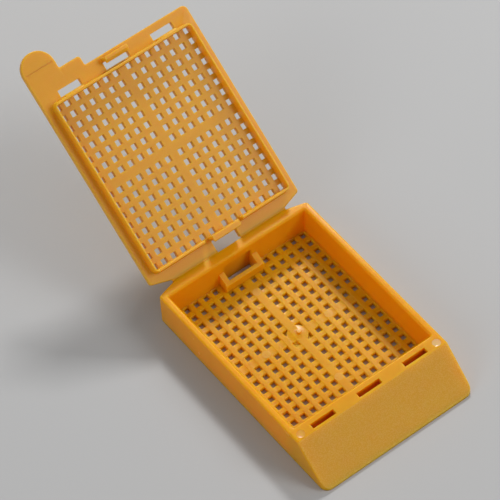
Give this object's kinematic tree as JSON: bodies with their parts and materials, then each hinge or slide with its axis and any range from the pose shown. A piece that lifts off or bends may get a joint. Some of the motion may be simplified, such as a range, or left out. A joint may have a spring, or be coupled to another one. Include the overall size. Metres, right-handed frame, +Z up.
{
  "type": "tissue cassette",
  "caption": "Flat perforated tray with a sloped writing face and a perforated snap-shut lid on a living hinge, for holding tissue samples during processing.",
  "frame": {"origin": "on the flat underside of the tray, under the middle of its hole pattern", "axes": "+X across the width, +Y from the writing face towards the hinge, +Z up out of the tray"},
  "size_m": [0.0284, 0.0748, 0.0294],
  "materials": {
    "acetal": "satin amber-orange acetal, fine matt texture on the writing face"
  },
  "bodies": {
    "tray": {"tray": "acetal", "hinge_film_left": "acetal", "hinge_film_right": "acetal"},
    "lid": {"lid": "acetal"}
  },
  "joints": [
    {"name": "lid_hinge", "type": "hinge", "parent": "tray", "child": "lid", "pos_m": [0, 0.01662, 0.00622], "axis": [1, 0, 0], "range_deg": [-35, 145], "deforming": ["hinge_film_left", "hinge_film_right"]}
  ]
}
